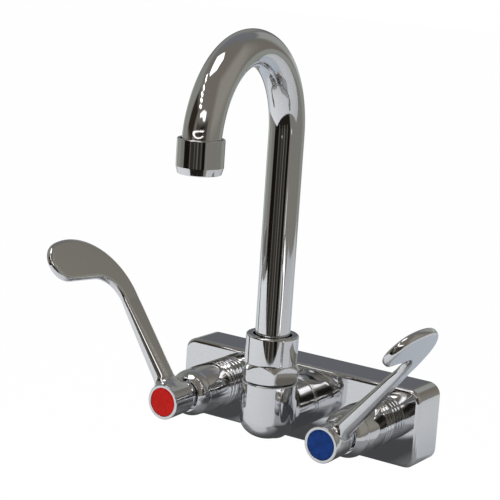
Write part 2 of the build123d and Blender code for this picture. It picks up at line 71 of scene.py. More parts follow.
# arm and blade, with the arcs of their outline as (reach, station)
arm_back, arm_front = 63.6, 75.6
root_half, blade_half = 5.0, 2.3                    # half the thickness at the hub and in the blade
root_edge, blade_edge = 4.4, 1.9                    # radius of the rolled edge at the same places
outer_centre, outer_bend = np.array([61.8, 102.8]), 39.2
inner_centre, inner_bend = np.array([60.0, 91.8]), 16.2
tip_radius, tip_turn = 11.4, radians(11.4)          # the back turns this far past square before the tip
tip_centre = outer_centre + (outer_bend - tip_radius) * np.array([np.cos(tip_turn), np.sin(tip_turn)])
tip_centre = tip_centre.round(3)                    # to the micrometre

# the hollow's arc turns into the straight run to the tip at the inner tangent of their two circles
hollow_to_tip = tip_centre - inner_centre
blade_lean = (np.arctan2(hollow_to_tip[1], hollow_to_tip[0])
              - np.arccos((inner_bend + tip_radius) / np.hypot(*hollow_to_tip)))


# ---- camera -----------------------------------------------------------------------------------
def aim_camera():
    """Camera at the photograph's place: it stands to the right of the faucet, a little above it."""
    place = Vector((0.43752, -0.74448, 0.25545))
    turn, tilt, roll = radians(33.22), radians(11.32), radians(-3.78)
    picture_side, right_by, down_by = 500, 3.41, 4.33
    forward = Vector((-np.sin(turn) * np.cos(tilt), np.cos(turn) * np.cos(tilt), -np.sin(tilt)))
    level = forward.cross(Vector((0, 0, 1))).normalized()
    down = forward.cross(level)
    right = np.cos(roll) * level + np.sin(roll) * down
    down = np.cos(roll) * down - np.sin(roll) * level
    lens = bpy.data.cameras.new("camera")
    lens.sensor_width = 36
    lens.lens = 113.0
    lens.shift_x = -right_by / picture_side
    lens.shift_y = -down_by / picture_side
    lens.clip_start = 0.01
    camera = bpy.data.objects.new("camera", lens)
    camera.matrix_world = Matrix.Translation(place) @ Matrix((right, -down, -forward)).transposed().to_4x4()
    bpy.context.collection.objects.link(camera)
    bpy.context.scene.camera = camera


# ---- finishes ---------------------------------------------------------------------------------
def linear(red, green, blue):
    """A screen colour of 0 to 255 as linear light."""
    screen = np.array([red, green, blue]) / 255
    return tuple(np.where(screen <= 0.04045, screen / 12.92, ((screen + 0.055) / 1.055) ** 2.4)) + (1.0,)


class NodeTree:
    """Short calls for the nodes of a material or of the world."""

    def __init__(self, tree):
        self.tree = tree

    def add(self, kind, **settings):
        node = self.tree.nodes.new(kind)
        for key, value in settings.items():
            setattr(node, key, value)
        return node

    def join(self, source, target):
        self.tree.links.new(source, target)

    def plain_shader(self, kind, **sockets):
        """A shader with the same values all over."""
        node = self.add(kind)
        for socket, value in sockets.items():
            node.inputs[socket].default_value = value
        return node.outputs[0]

    def combined(self, operation, first, second):
        """Two numbers combined by a sum of this kind; the second may be a plain value."""
        node = self.add("ShaderNodeMath", operation=operation)
        self.join(first, node.inputs[0])
        if isinstance(second, float):
            node.inputs[1].default_value = second
        else:
            self.join(second, node.inputs[1])
        return node.outputs[0]

    def mixed(self, share, first, second):
        """Shader that goes from the first to the second by the share."""
        mix = self.add("ShaderNodeMixShader")
        for source, target in zip((share, first, second), mix.inputs):
            self.join(source, target)
        return mix.outputs["Shader"]

    def show(self, shader, kind="ShaderNodeOutputMaterial"):
        """Lead a shader to the output."""
        self.join(shader, self.add(kind).inputs["Surface"])


class Finish(NodeTree):
    """A node material with a Principled shader, and short calls for the patterns that feed it."""

    def __init__(self, name, **sockets):
        self.material = bpy.data.materials.new(name)
        self.material.use_nodes = True
        super().__init__(self.material.node_tree)
        self.shader = self.tree.nodes["Principled BSDF"]
        for socket, value in sockets.items():
            self.shader.inputs[socket.replace("_", " ").title().replace("Ior", "IOR")].default_value = value
        self.place = self.add("ShaderNodeTexCoord").outputs["Object"]

    def noise(self, scale, detail=3.0, stretch=(1, 1, 1)):
        """Noise of this many grains to the metre, drawn out along an axis by stretch."""
        mapping = self.add("ShaderNodeMapping")
        mapping.inputs["Scale"].default_value = stretch
        self.join(self.place, mapping.inputs["Vector"])
        noise = self.add("ShaderNodeTexNoise")
        noise.inputs["Scale"].default_value = scale
        noise.inputs["Detail"].default_value = detail
        self.join(mapping.outputs["Vector"], noise.inputs["Vector"])
        return noise.outputs["Fac"]

    def tint(self, pattern, dark, light):
        """Colour the surface between two tones by a pattern."""
        ramp = self.add("ShaderNodeValToRGB")
        for element, position, tone in zip(ramp.color_ramp.elements, (0.3, 0.7), (dark, light)):
            element.position = position
            element.color = tone
        self.join(pattern, ramp.inputs["Fac"])
        self.join(ramp.outputs["Color"], self.shader.inputs["Base Color"])

    def roughen(self, pattern, smooth, rough):
        """Roughness between two values, by the middle part of a pattern."""
        spread = self.add("ShaderNodeMapRange")
        for key, value in (("From Min", 0.3), ("From Max", 0.7), ("To Min", smooth), ("To Max", rough)):
            spread.inputs[key].default_value = value
        self.join(pattern, spread.inputs["Value"])
        self.join(spread.outputs["Result"], self.shader.inputs["Roughness"])

    def emboss(self, pattern, depth, strength=1.0):
        """Bump of this depth in metres."""
        bump = self.add("ShaderNodeBump")
        bump.inputs["Distance"].default_value = depth
        bump.inputs["Strength"].default_value = strength
        self.join(pattern, bump.inputs["Height"])
        self.join(bump.outputs["Normal"], self.shader.inputs["Normal"])


def make_chrome():
    """Bright chrome plate: near mirror, with faint wiping marks, thin haze and the polisher's waviness."""
    chrome = Finish("chrome_plate", metallic=1.0)
    chrome.tint(chrome.noise(1500, 3), (0.735, 0.745, 0.765, 1), (0.81, 0.82, 0.84, 1))
    chrome.roughen(chrome.noise(160, 6, (1, 1, 0.35)), 0.025, 0.075)
    chrome.emboss(chrome.noise(90, 1.5), 0.00003, 0.5)
    return chrome.material


def make_brass():
    """Turned brass: tool rings and a dull, slightly uneven colour."""
    brass = Finish("turned_brass", metallic=1.0)
    brass.tint(brass.noise(140, 4), (0.62, 0.46, 0.20, 1), (0.80, 0.63, 0.32, 1))
    brass.roughen(brass.noise(900, 3), 0.22, 0.40)
    brass.emboss(brass.noise(1400, 2, (1, 4, 1)), 0.00004, 0.6)
    return brass.material


def make_stainless():
    """Stainless steel with a drawn grain."""
    steel = Finish("stainless", metallic=1.0)
    steel.tint(steel.noise(300, 3), (0.52, 0.52, 0.53, 1), (0.66, 0.66, 0.67, 1))
    steel.roughen(steel.noise(1200, 3, (1, 1, 0.1)), 0.18, 0.34)
    steel.emboss(steel.noise(1800, 2, (1, 1, 0.1)), 0.00002, 0.5)
    return steel.material


def make_zinc():
    """Zinc plated steel: bluish and cloudy."""
    zinc = Finish("zinc_plate", metallic=1.0)
    zinc.tint(zinc.noise(220, 6), (0.52, 0.55, 0.60, 1), (0.72, 0.73, 0.74, 1))
    zinc.roughen(zinc.noise(400, 4), 0.25, 0.45)
    zinc.emboss(zinc.noise(800, 4), 0.00003, 0.5)
    return zinc.material


def make_seal_rubber():
    """Moulded black rubber with a dusty bloom."""
    rubber = Finish("seal_rubber", roughness=0.6)
    rubber.tint(rubber.noise(500, 5), (0.025, 0.025, 0.028, 1), (0.055, 0.055, 0.058, 1))
    rubber.roughen(rubber.noise(900, 4), 0.45, 0.7)
    rubber.emboss(rubber.noise(2500, 3), 0.00003, 0.6)
    return rubber.material


def make_acetal(name, dark, light):
    """Moulded acetal: waxy, with a faint mould texture."""
    acetal = Finish(name, roughness=0.35, ior=1.48)
    acetal.tint(acetal.noise(350, 4), dark, light)
    acetal.roughen(acetal.noise(800, 3), 0.28, 0.42)
    acetal.emboss(acetal.noise(1600, 3), 0.00002, 0.5)
    return acetal.material


def make_alumina():
    """Lapped alumina: white, smooth and slightly speckled."""
    alumina = Finish("lapped_alumina", roughness=0.15, ior=1.76)
    alumina.tint(alumina.noise(1800, 6), (0.82, 0.81, 0.78, 1), (0.91, 0.90, 0.87, 1))
    alumina.roughen(alumina.noise(1200, 4), 0.10, 0.22)
    alumina.emboss(alumina.noise(3000, 3), 0.00001, 0.4)
    return alumina.material


def make_index_plastic(name, dark, light):
    """Glossy index button: pigment with slow clouds, a moulded skin and a clear top coat."""
    plastic = Finish(name, roughness=0.2, ior=1.5, specular_ior_level=0.15,
                     coat_weight=0.12, coat_roughness=0.06)
    plastic.tint(plastic.noise(260, 5), dark, light)
    plastic.roughen(plastic.noise(700, 4), 0.18, 0.34)
    plastic.emboss(plastic.noise(350, 3), 0.00006, 0.5)
    return plastic.material


finishes = {
    "chrome": make_chrome(),
    "brass": make_brass(),
    "stainless": make_stainless(),
    "zinc_plate": make_zinc(),
    "seal": make_seal_rubber(),
    "slip_washer": make_acetal("slip_washer_acetal", (0.76, 0.76, 0.72, 1), (0.86, 0.86, 0.83, 1)),
    "insert_plastic": make_acetal("aerator_acetal", (0.70, 0.71, 0.72, 1), (0.82, 0.83, 0.84, 1)),
    "ceramic": make_alumina(),
    "hot_index": make_index_plastic("hot_red", linear(176, 8, 0), linear(204, 16, 0)),
    "cold_index": make_index_plastic("cold_blue", linear(0, 40, 100), linear(0, 58, 134)),
}


def dress_carried_pieces():
    """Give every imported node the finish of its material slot."""
    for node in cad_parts.values():
        for place in node.material_slots:
            slot = place.material.name.split(".")[0] if place.material else ""
            place.material = finishes.get(slot, place.material)


# ---- surfaces, worked out as whole arrays -----------------------------------------------------
def rounded(corners, steps=8, near=0.12, closed=True):
    """Outline through (a, b, radius) corners, with every corner turned into an arc that touches both sides.

    An arc's points are its centre plus the radius times the cosine and sine of evenly spaced angles.
    One more point lies just before and just after each arc, so that smoothing leaves the flats flat.
    """
    corners = np.array(corners, float)
    points, radius = corners[:, :2], corners[:, 2]
    into = points - np.roll(points, 1, 0)
    into /= np.linalg.norm(into, axis=1)[:, None]
    out = np.roll(into, -1, 0)
    turn = np.arctan2(into[:, 0] * out[:, 1] - into[:, 1] * out[:, 0], (into * out).sum(1))
    start = points - into * (radius * np.tan(np.abs(turn) / 2))[:, None]
    centre = start + np.stack([-into[:, 1], into[:, 0]], 1) * (np.sign(turn) * radius)[:, None]
    spoke = start - centre
    angle = np.arctan2(spoke[:, 1], spoke[:, 0])[:, None] + turn[:, None] * np.linspace(0, 1, steps)
    arcs = centre[:, None] + radius[:, None, None] * np.stack([np.cos(angle), np.sin(angle)], -1)
    before = arcs[:, :1] - near * into[:, None]
    after = arcs[:, -1:] + near * out[:, None]
    rows = np.concatenate([before, arcs, after], 1)
    if closed:
        return rows.reshape(-1, 2)
    return np.concatenate([points[:1], rows[1:-1].reshape(-1, 2), points[-1:]])


def arc(centre, radius, first, last, count):
    """Evenly spaced points of an arc: centre plus radius times cosine and sine."""
    angle = np.linspace(first, last, count)[:, None]
    return centre + radius * np.concatenate([np.cos(angle), np.sin(angle)], 1)


def round_axis(radius, angle, station):
    """Points round the local Z axis: radius times the cosine and sine of the angle, then the station."""
    return np.stack([radius * np.cos(angle), radius * np.sin(angle), station + 0 * angle], -1)


def spun(profile, columns=128):
    """Each (radius, station) of a profile goes once round the local Z axis."""
    return round_axis(profile[:, :1], np.arange(columns) * 2 * np.pi / columns, profile[:, 1:])


def quads_of(grid, ring):
    """Corner numbers of a grid's squares: its columns close on themselves, and its rows too in a ring."""
    rows, columns = grid.shape[:2]
    index = np.arange(rows * columns).reshape(rows, columns)
    lower = index if ring else index[:-1]
    upper = np.roll(index, -1, 0) if ring else index[1:]
    return np.stack([lower, np.roll(lower, -1, 1), np.roll(upper, -1, 1), upper], -1).reshape(-1, 4)


def volume_of(points, quads):
    """Six times the volume inside: the sum of the triple products of every square's two triangles."""
    a, b, c, d = (points[quads[:, i]] for i in range(4))
    return (np.cross(a, b) * c).sum() + (np.cross(a, c) * d).sum()


def outward(grid, ring=True):
    """Unit normals of a grid, from the cross product of its two differences, turned to face out."""
    along = np.roll(grid, -1, 0) - np.roll(grid, 1, 0) if ring else np.gradient(grid, axis=0)
    across = np.roll(grid, -1, 1) - np.roll(grid, 1, 1)
    normal = np.cross(across, along)
    normal /= np.maximum(np.linalg.norm(normal, axis=-1, keepdims=True), 1e-9)
    return normal * np.sign(volume_of(grid.reshape(-1, 3), quads_of(grid, ring)))


def blend_into(grid, distance_to_other, softness, ring=True):
    """Move a skin out along its normals onto the softened union with another body.

    The softened union is where min(a, b) - softness / 4 * (1 - |a - b| / softness)^2 is nought, with a
    the distance to this skin and b that to the other body; a is found by repeating the formula.
    """
    normal = outward(grid, ring)
    move = np.zeros(grid.shape[:2] + (1,))
    for _ in range(8):
        gap = distance_to_other(grid + move * normal)[..., None] - move
        move = softness / 4 * np.clip(1 - np.abs(gap) / softness, 0, 1) ** 2
    return grid + move * normal


def add_piece(name, grid, body, slot, stands_for, ring=True):
    """One smooth closed mesh from a grid in millimetres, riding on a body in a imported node's place.

    A ring's rows close on themselves.  Otherwise a fan to a pole at its middle closes each end row.
    """
    points = grid.reshape(-1, 3)
    quads = quads_of(grid, ring)
    facing_in = volume_of(points, quads) < 0
    faces = (quads[:, ::-1] if facing_in else quads).tolist()
    if not ring:
        first = np.arange(grid.shape[1])
        last = first + len(points) - len(first)
        for edge, pole, is_last in ((first, len(points), False), (last, len(points) + 1, True)):
            fan = np.stack([np.roll(edge, -1), edge, np.full(len(edge), pole)], 1)
            faces += (fan[:, ::-1] if is_last != facing_in else fan).tolist()
        points = np.concatenate([points, grid[[0, -1]].mean(1)])
    mesh = bpy.data.meshes.new(name)
    mesh.from_pydata((points * MM).tolist(), [], faces)
    mesh.polygons.foreach_set("use_smooth", np.ones(len(faces), bool))
    mesh.materials.append(finishes[slot])
    piece = bpy.data.objects.new(name, mesh)
    bpy.context.collection.objects.link(piece)
    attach(piece, body)
    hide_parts(stands_for)


def turned_about_z(points, degrees):
    """Turn points about the local Z axis, counter-clockwise seen from its far end."""
    cosine, sine = np.cos(np.radians(degrees)), np.sin(np.radians(degrees))
    x, y, z = points[..., 0], points[..., 1], points[..., 2]
    return np.stack([cosine * x - sine * y, sine * x + cosine * y, z], -1)


def on_valve(points, x, angle=0.0):
    """Place points drawn on local Z on the valve axis at x: local Z points at the user and local Y up."""
    turned = turned_about_z(points, -angle)
    return np.stack([x + turned[..., 0], -turned[..., 2], turned[..., 1]], -1)


def on_elbow(points):
    """Place points drawn about local Z on the upright axis of the elbow."""
    return points + np.array([0, -spout_offset, 0])


def on_spout(points):
    """Place points drawn about local Z on the spout's axis, turned with the spout."""
    return on_elbow(turned_about_z(points, spout_turn))


def on_outlet(points):
    """Place points drawn about local Z on the axis of the spout's outlet."""
    return on_spout(points + np.array([0, -2 * bend_radius, 0]))


# ---- body, bonnets, elbow and nut -------------------------------------------------------------
def make_bonnet(side, x, angle):
    """Bonnet spun from its section: three ribs at the body, bellied barrel, domed nose and its collar."""
    rear, rib_count, rib_pitch, rib_root, rib_crest = body_depth + 0.05, 3, 3.0, 12.55, 13.35
    barrel_start, belly, belly_radius, belly_curve = 33.1, 40.4, 13.83, 90
    shoulder, shoulder_radius, dome, dome_radius, dome_curve = 51.0, 13.05, 55.75, 13.43, 10.2
    nose, nose_radius, collar_radius, end = 59.4, 9.8, 7.4, 61.9
    mouth_radius, lip_back, throat_radius, throat_start = 5.4, 57.9, 8.9, 50.0
    cavity_radius, seat, seat_radius = 10.75, 33.05, 11.65
    section = []
    for start in rear + rib_pitch * np.arange(rib_count):
        section += [(rib_root, start, 0.22), (rib_root, start + 0.9, 0.3),
                    (rib_crest, start + 1.5, 0.3), (rib_crest, start + 2.5, 0.3)]
    section += [(rib_root, barrel_start - 0.4, 0.15), (rib_crest, barrel_start, 0.35),
                (belly_radius, belly, belly_curve), (shoulder_radius, shoulder, 0.7),
                (dome_radius, dome, dome_curve), (nose_radius, nose, 0.5), (collar_radius, nose + 0.1, 0.12),
                (collar_radius, end, 0.3), (mouth_radius, end, 0.25), (mouth_radius, lip_back, 0.1),
                (throat_radius, lip_back, 0.2), (throat_radius, throat_start, 0.2),
                (cavity_radius, throat_start, 0.2), (cavity_radius, seat, 0.2),
                (seat_radius, seat, 0.1), (seat_radius, rear, 0.05)]
    grid = on_valve(spun(rounded(section, 8, 0.04), 120), x, angle)
    add_piece(f"{side}_bonnet_shell", grid, "faucet_body", "chrome", f"{side}_bonnet")


def make_elbow():
    """Elbow: a domed upright barrel with its neck, and the leg to the body, blended where they meet."""
    barrel_radius, barrel_top, dome_start, dome_drop = 14.9, 18.0, -3.0, 11.2
    neck_radius, neck_top, ferrule_bore, ferrule_seat, floor = 11.95, 27.4, 9.05, 6.9, -6.0
    leg_radius, leg_end, flange_radius, flange_back, flange_front = 14.7, 49.5, 15.2, body_depth + 0.02, 25.1
    spigot_radius, spigot_end, groove_radius, groove_back, groove_front = 8.95, 13.7, 7.3, 21.15, 22.85
    softness, columns = 3.2, 168

    sweep = np.radians(np.linspace(0, 90, 34))
    dome = np.stack([barrel_radius * np.sin(sweep), dome_start - dome_drop * np.cos(sweep)], 1)
    wall = np.linspace([barrel_radius, dome_start + 1], [barrel_radius, barrel_top - 2], 26)
    neck = rounded([(barrel_radius, 0, 0.1), (barrel_radius, barrel_top, 0.6),
                    (neck_radius, barrel_top, 0.3), (neck_radius, neck_top, 0.3),
                    (ferrule_bore, neck_top, 0.2), (ferrule_bore, ferrule_seat, 0.2),
                    (outlet_bore, ferrule_seat, 0.2), (outlet_bore, floor, 2.0), (0, floor, 0)],
                   8, 0.1, False)[1:-1]
    barrel = on_elbow(spun(np.concatenate([dome[1:], wall, neck]), columns))

    spigot = rounded([(leg_radius, leg_end, 2.5), (outlet_bore, leg_end, 0.2), (outlet_bore, spigot_end, 0.2),
                      (spigot_radius, spigot_end, 0.3), (spigot_radius, groove_back, 0.1),
                      (groove_radius, groove_back, 0.1), (groove_radius, groove_front, 0.1),
                      (spigot_radius, groove_front, 0.1), (spigot_radius, flange_back, 0.05),
                      (flange_radius, flange_back, 0.25), (flange_radius, flange_front, 0.4),
                      (leg_radius, flange_front + 0.25, 0.2)], 7, 0.05)
    outside = np.linspace([leg_radius, flange_front + 0.7], [leg_radius, leg_end - 2.7], 70)
    leg = on_valve(spun(np.concatenate([spigot, outside]), columns), 0)

    def from_barrel(points):
        across = np.hypot(points[..., 0], points[..., 1] + spout_offset)
        below = np.minimum(points[..., 2] - dome_start, 0)
        level = np.hypot(across / barrel_radius, below / dome_drop)
        slope = np.hypot(across / barrel_radius ** 2, below / dome_drop ** 2)
        return level * (level - 1) / np.maximum(slope, 1e-6)

    def from_leg(points):
        return np.maximum(np.hypot(points[..., 0], points[..., 2]) - leg_radius, -points[..., 1] - leg_end)

    leg = blend_into(leg, from_barrel, softness)
    barrel = blend_into(barrel, from_leg, softness, False)
    add_piece("elbow_casting", leg, "faucet_body", "chrome", "outlet_elbow")
    add_piece("elbow_barrel", barrel, "faucet_body", "chrome", "outlet_elbow", False)


def softened_minimum(a, b, softness):
    """The smaller of two lengths, with the change from one to the other rounded over the softness."""
    near = np.clip(1 - np.abs(a - b) / softness, 0, 1)
    return np.minimum(a, b) - softness / 4 * near ** 2


def hexagon_radius(angle, across_flats, corner_round):
    """Distance from the middle to a hexagon's side, in each direction, with the corners a little rounded."""
    side = across_flats / 2 / np.cos(np.radians(angle % 60 - 30))
    corner = across_flats / np.sqrt(3) - corner_round
    return softened_minimum(side, corner, 1.6 * corner_round)


def corner_angles(columns):
    """Angles for a hexagon's grid, crowded towards its six corners by a sine added to even steps."""
    step = np.linspace(-1, 1, columns // 6, endpoint=False)
    sector = 30 * (0.25 * step + 0.75 * np.sin(np.pi / 2 * step))
    return (sector + 60 * np.arange(6)[:, None] + 30).ravel()


def hexagon_grid(profile, limited, across_flats, columns, corner_round=0.25, softness=0.3):
    """Rows of a nut: where limited, the radius is the softened minimum of the profile's and the hexagon's."""
    angle = corner_angles(columns)
    radius = profile[:, :1] + 0 * angle
    faced = softened_minimum(hexagon_radius(angle, across_flats, corner_round)[None], radius, softness)
    return round_axis(np.where(limited[:, None], faced, radius), np.radians(angle), profile[:, 1:])


def make_spout_nut():
    """Spout nut: hexagon foot under a chamfer cone, round barrel, rounded rim and bored mouth."""
    across_flats, turn, bottom, hex_end, top = 28.6, 11.7, 18.8, 28.2, 44.2
    radius, rim_start, bore, mouth_radius, mouth_start, steps = across_flats / 2, 35, 12.0, 10.7, 31.6, 9
    corner = radius / np.cos(np.pi / 6) + 0.3
    foot = np.array([(bore, 0), (13.9, 0), (14.25, 0.02), (14.7, 0.15), (15.4, 0.4), (16.2, 0.7),
                     (corner, 0.85), (corner, 1.7)]) + (0, bottom)
    flats = np.linspace([corner, bottom + 2.6], [corner, hex_end - 3.2], 5)
    cone = np.linspace([corner - 0.1, hex_end - 3.0], [radius + 0.25, hex_end], 34)
    waist = np.array([(0.12, 0.1), (0.03, 0.28), (0, 0.6), (0, 1.2)]) + (radius, hex_end)
    rim = rounded([(radius, rim_start, 0.1), (radius, top, 1.1), (mouth_radius, top, 0.5),
                   (mouth_radius, mouth_start, 0.1), (bore, mouth_start, 0.1), (bore, bottom, 0.1)],
                  steps, 0.1)[steps + 2:-steps - 2]
    profile = np.concatenate([foot, flats, cone, waist, rim])
    limited = np.zeros(len(profile), bool)
    limited[2:len(foot) + len(flats) + len(cone)] = True
    grid = on_elbow(turned_about_z(hexagon_grid(profile, limited, across_flats, 264), turn))
    add_piece("spout_nut_turned", grid, "faucet_body", "chrome", "spout_nut")


# ---- supply side, behind the body -------------------------------------------------------------
def make_threaded_shank(side, x):
    """Shank spun from its section, with a thread whose depth follows the phase of its helix."""
    radius, bore, front, plain_from, back, columns = 10.48, 6.6, 9.4, -10.0, -28.0, 96
    thread_from, thread_to, pitch, depth = -27.2, -10.6, 1.814, 0.85
    plain = rounded([(radius, plain_from, 0.1), (radius, front, 0.2), (bore, front, 0.2), (bore, back, 0.3),
                     (radius - 1.08, back, 0.3), (radius - 0.58, back + 0.3, 0.2)], 6, 0.05)
    station = np.linspace(thread_from - 0.4, thread_to + 0.4, 150)[:, None]
    angle = np.arange(columns) * 2 * np.pi / columns
    phase = (station / pitch - angle / (2 * np.pi)) % 1
    cut = np.clip(1 - np.abs(phase - 0.5) / 0.42, 0, 1)
    fade = np.clip(np.minimum(station - thread_from, thread_to - station) / 1.2 + 0.3, 0, 1)
    chamfer = 0.5 * np.clip((thread_from + 0.3 - station) / 0.7, 0, 1)
    threads = round_axis(radius - 0.03 - depth * fade * cut - chamfer, angle, station)
    grid = on_valve(np.concatenate([spun(plain, columns), threads]), x)
    add_piece(f"{side}_threaded_shank", grid, "faucet_body", "brass", f"{side}_shank")


def make_pressed_washer(side, x):
    """Flat washer with its pressed edges rolled over."""
    hole, radius, front, back = 10.6, 16.0, -panel_gap, -panel_gap - shank_washer_thickness
    section = rounded([(hole, back, 0.25), (radius, back, 0.5),
                       (radius, front, 0.6), (hole, front, 0.4)], 6, 0.05)
    add_piece(f"{side}_pressed_washer", on_valve(spun(section, 96), x), "faucet_body", "zinc_plate",
              f"{side}_shank_washer")


def make_chamfered_locknut(side, x):
    """Hexagon locknut, chamfered on both faces: the back half's profile is mirrored for the front half."""
    across_flats, hole, front = 28.0, 10.55, -panel_gap - shank_washer_thickness
    back, half = front - locknut_thickness, across_flats / 2
    corner = half / np.cos(np.pi / 6) + 0.2
    rear = np.concatenate([np.array([(hole, 0), (hole + 0.35, 0), (half - 0.8, 0), (half - 0.3, 0.05)]),
                           np.linspace([half, 0.15], [corner, 1.4], 16)])
    flats = np.linspace([corner, 1.6], [corner, locknut_thickness - 1.6], 4)
    fore = (rear * (1, -1) + (0, locknut_thickness))[::-1]
    outside = np.concatenate([rear, flats, fore]) + (0, back)
    limited = np.zeros(len(outside), bool)
    limited[4:-4] = True
    nut = hexagon_grid(outside, limited, across_flats, 168)
    add_piece(f"{side}_chamfered_locknut", on_valve(nut, x), "faucet_body", "brass", f"{side}_locknut")


# ---- spout ------------------------------------------------------------------------------------
def make_gooseneck():
    """Tube: a circle carried up the riser, round the half-circle bend and down to the aerator."""
    bottom, bend_height, end, outer, bore, columns = 30.4, 152.1, 146.5, 9.5, 8.3, 128
    rise = np.concatenate([[bottom, bottom + 0.3], np.linspace(bottom + 2, bend_height - 1, 40)])
    bend = np.radians(np.linspace(0, 180, 150))
    drop = np.array([bend_height - 0.8, bend_height - 3, end + 0.3, end])
    lift = np.concatenate([rise, bend_height + bend_radius * np.sin(bend), drop])
    forth = np.concatenate([0 * rise, bend_radius * (1 - np.cos(bend)), 2 * bend_radius + 0 * drop])
    lean = np.concatenate([0 * rise, bend, np.pi + 0 * drop])
    middle = np.stack([0 * lift, -forth, lift], -1)[:, None]
    sideways = np.array([1.0, 0, 0])
    outwards = np.stack([0 * lean, np.cos(lean), np.sin(lean)], -1)[:, None]
    angle = (np.arange(columns) * 2 * np.pi / columns)[None, :, None]
    circle = np.cos(angle) * sideways + np.sin(angle) * outwards
    grid = np.concatenate([middle + outer * circle, (middle + bore * circle)[::-1][::3]])
    add_piece("gooseneck", on_spout(grid), "spout", "chrome", "spout_tube")


def make_aerator_collar():
    """Aerator collar spun from its section: rolled rim at the top, straight wall, chamfered foot and lip."""
    radius, top, chamfer_start, foot, foot_radius = 11.5, 158.3, 144.9, 141.3, 10.5
    socket_radius, socket_floor, bore, lip_top, mouth_radius = 10.2, 151.1, 9.55, 142.3, 8.6
    section = rounded([(radius, chamfer_start, 0.8), (radius, top, 0.55), (socket_radius, top, 0.4),
                       (socket_radius, socket_floor, 0.2), (bore, socket_floor, 0.1), (bore, lip_top, 0.1),
                       (mouth_radius, lip_top, 0.15), (mouth_radius, foot, 0.25), (foot_radius, foot, 0.45)],
                      8, 0.05)
    add_piece("aerator_collar", on_outlet(spun(section, 128)), "spout", "chrome", "aerator_housing")


# ---- handles ----------------------------------------------------------------------------------
def edge_at(reach):
    """Radius of the rolled edge: the blade's, growing evenly to the root's over the arm's lower part."""
    root_reach, blade_reach = 12, 54
    share = np.clip((blade_reach - reach) / (blade_reach - root_reach), 0, 1)
    return blade_edge + (root_edge - blade_edge) * share


def depth_in_blade(reach, station):
    """Distance in from the blade's outline: the least of those from its back, front and tip circle."""
    back = np.where(reach < outer_centre[0], station - arm_back,
                    outer_bend - np.hypot(reach - outer_centre[0], station - outer_centre[1]))
    out, up = reach - inner_centre[0], station - inner_centre[1]
    hollow = np.hypot(out, up) - inner_bend
    straight = out * np.cos(blade_lean) + up * np.sin(blade_lean) - inner_bend
    curved = np.where(np.arctan2(up, out) < blade_lean, hollow, straight)
    front = np.where(out < 0, arm_front - station, curved)
    past, over = reach - tip_centre[0], station - tip_centre[1]
    tip = tip_radius - np.hypot(past, over)
    way = np.arctan2(over, past)
    in_tip = (way > tip_turn) & (way < np.pi + blade_lean) | (way < blade_lean - np.pi)
    return np.where(in_tip & (up > 0), tip, np.minimum(back, front))


def blade_outline():
    """Rows of the arm and blade: a point of the back and one of the front for each, on runs and arcs."""
    arm_rows = np.concatenate([np.linspace(6.5, 13, 26), np.linspace(13.8, 59.4, 52)])
    lean = np.array([np.cos(blade_lean), np.sin(blade_lean)])
    tip_end = np.pi + blade_lean
    apex = (tip_turn + tip_end) / 2
    back = [np.stack([arm_rows, arm_back + 0 * arm_rows], 1),
            np.linspace([inner_centre[0], arm_back], [outer_centre[0], arm_back], 3)[:-1],
            arc(outer_centre, outer_bend, -np.pi / 2, tip_turn, 84),
            arc(tip_centre, tip_radius, tip_turn, apex, 46)[1:-1]]
    front = [np.stack([arm_rows, arm_front + 0 * arm_rows], 1),
             arc(inner_centre, inner_bend, -np.pi / 2, blade_lean, 52)[:-1],
             np.linspace(inner_centre + inner_bend * lean, tip_centre - tip_radius * lean, 35),
             arc(tip_centre, tip_radius, tip_end, apex, 46)[1:-1]]
    return np.concatenate(back), np.concatenate(front)


def arm_skin():
    """Plate of arm and blade, whose sides roll over at the outline.

    Half thickness = taper(reach) - edge + sqrt(edge^2 - (edge - depth)^2), with depth the distance in from
    the outline and edge its radius, so the edge is a quarter round.  Each row runs from back to front on the
    right side, and back again on the left.
    """
    back, front = blade_outline()
    width = np.linalg.norm(front - back, axis=1, keepdims=True)
    roll = 1 - np.cos(np.linspace(0, np.pi / 2, 10))
    near = np.minimum(1.35 * edge_at(back[:, :1]), 0.38 * width) * roll / width
    middle = np.linspace(near[:, -1:], 1 - near[:, -1:], 8, axis=1)[:, 1:-1, 0]
    share = np.concatenate([near, middle, 1 - near[:, ::-1]], 1)[..., None]
    face = back[:, None] + (front - back)[:, None] * share
    reach, station = face[..., 0], face[..., 1]
    edge = edge_at(reach)
    depth = np.clip(depth_in_blade(reach, station), 0, edge)
    thinning = np.clip((reach - hub_rear_radius) / (inner_centre[0] - hub_rear_radius), 0, 1)
    half = root_half + (blade_half - root_half) * thinning - edge + np.sqrt(edge ** 2 - (edge - depth) ** 2)
    right = np.stack([half, reach, station], -1)
    left = np.stack([-half, reach, station], -1)[:, ::-1]
    return np.concatenate([right, left], 1)


def hub_skin():
    """Drilled hub spun from its section: tapered wall, button pocket, screw head's seat and stem socket."""
    pocket_radius, pocket_floor = button_radius + 0.1, button_seat - 0.05
    head_radius, head_floor, screw_radius, socket_top, socket_radius = 5.0, 74.75, 2.35, 73.15, 3.7
    steps = 7
    section = rounded([(hub_rear_radius, hub_rear, 0.5), (hub_front_radius, hub_front, 0.45),
                       (pocket_radius, hub_front, 0.15), (pocket_radius, pocket_floor, 0.1),
                       (head_radius, pocket_floor, 0.2), (head_radius, head_floor, 0.2),
                       (screw_radius, head_floor, 0.1), (screw_radius, socket_top, 0.1),
                       (socket_radius, socket_top, 0.1), (socket_radius, hub_rear, 0.2)], steps, 0.05)
    after_first_corner = steps + 2
    wall = np.linspace([hub_rear_radius + 0.015, hub_rear + 0.9],
                       [hub_front_radius - 0.02, hub_front - 0.9], 60)
    return spun(np.concatenate([section[:after_first_corner], wall, section[after_first_corner:]]), 144)


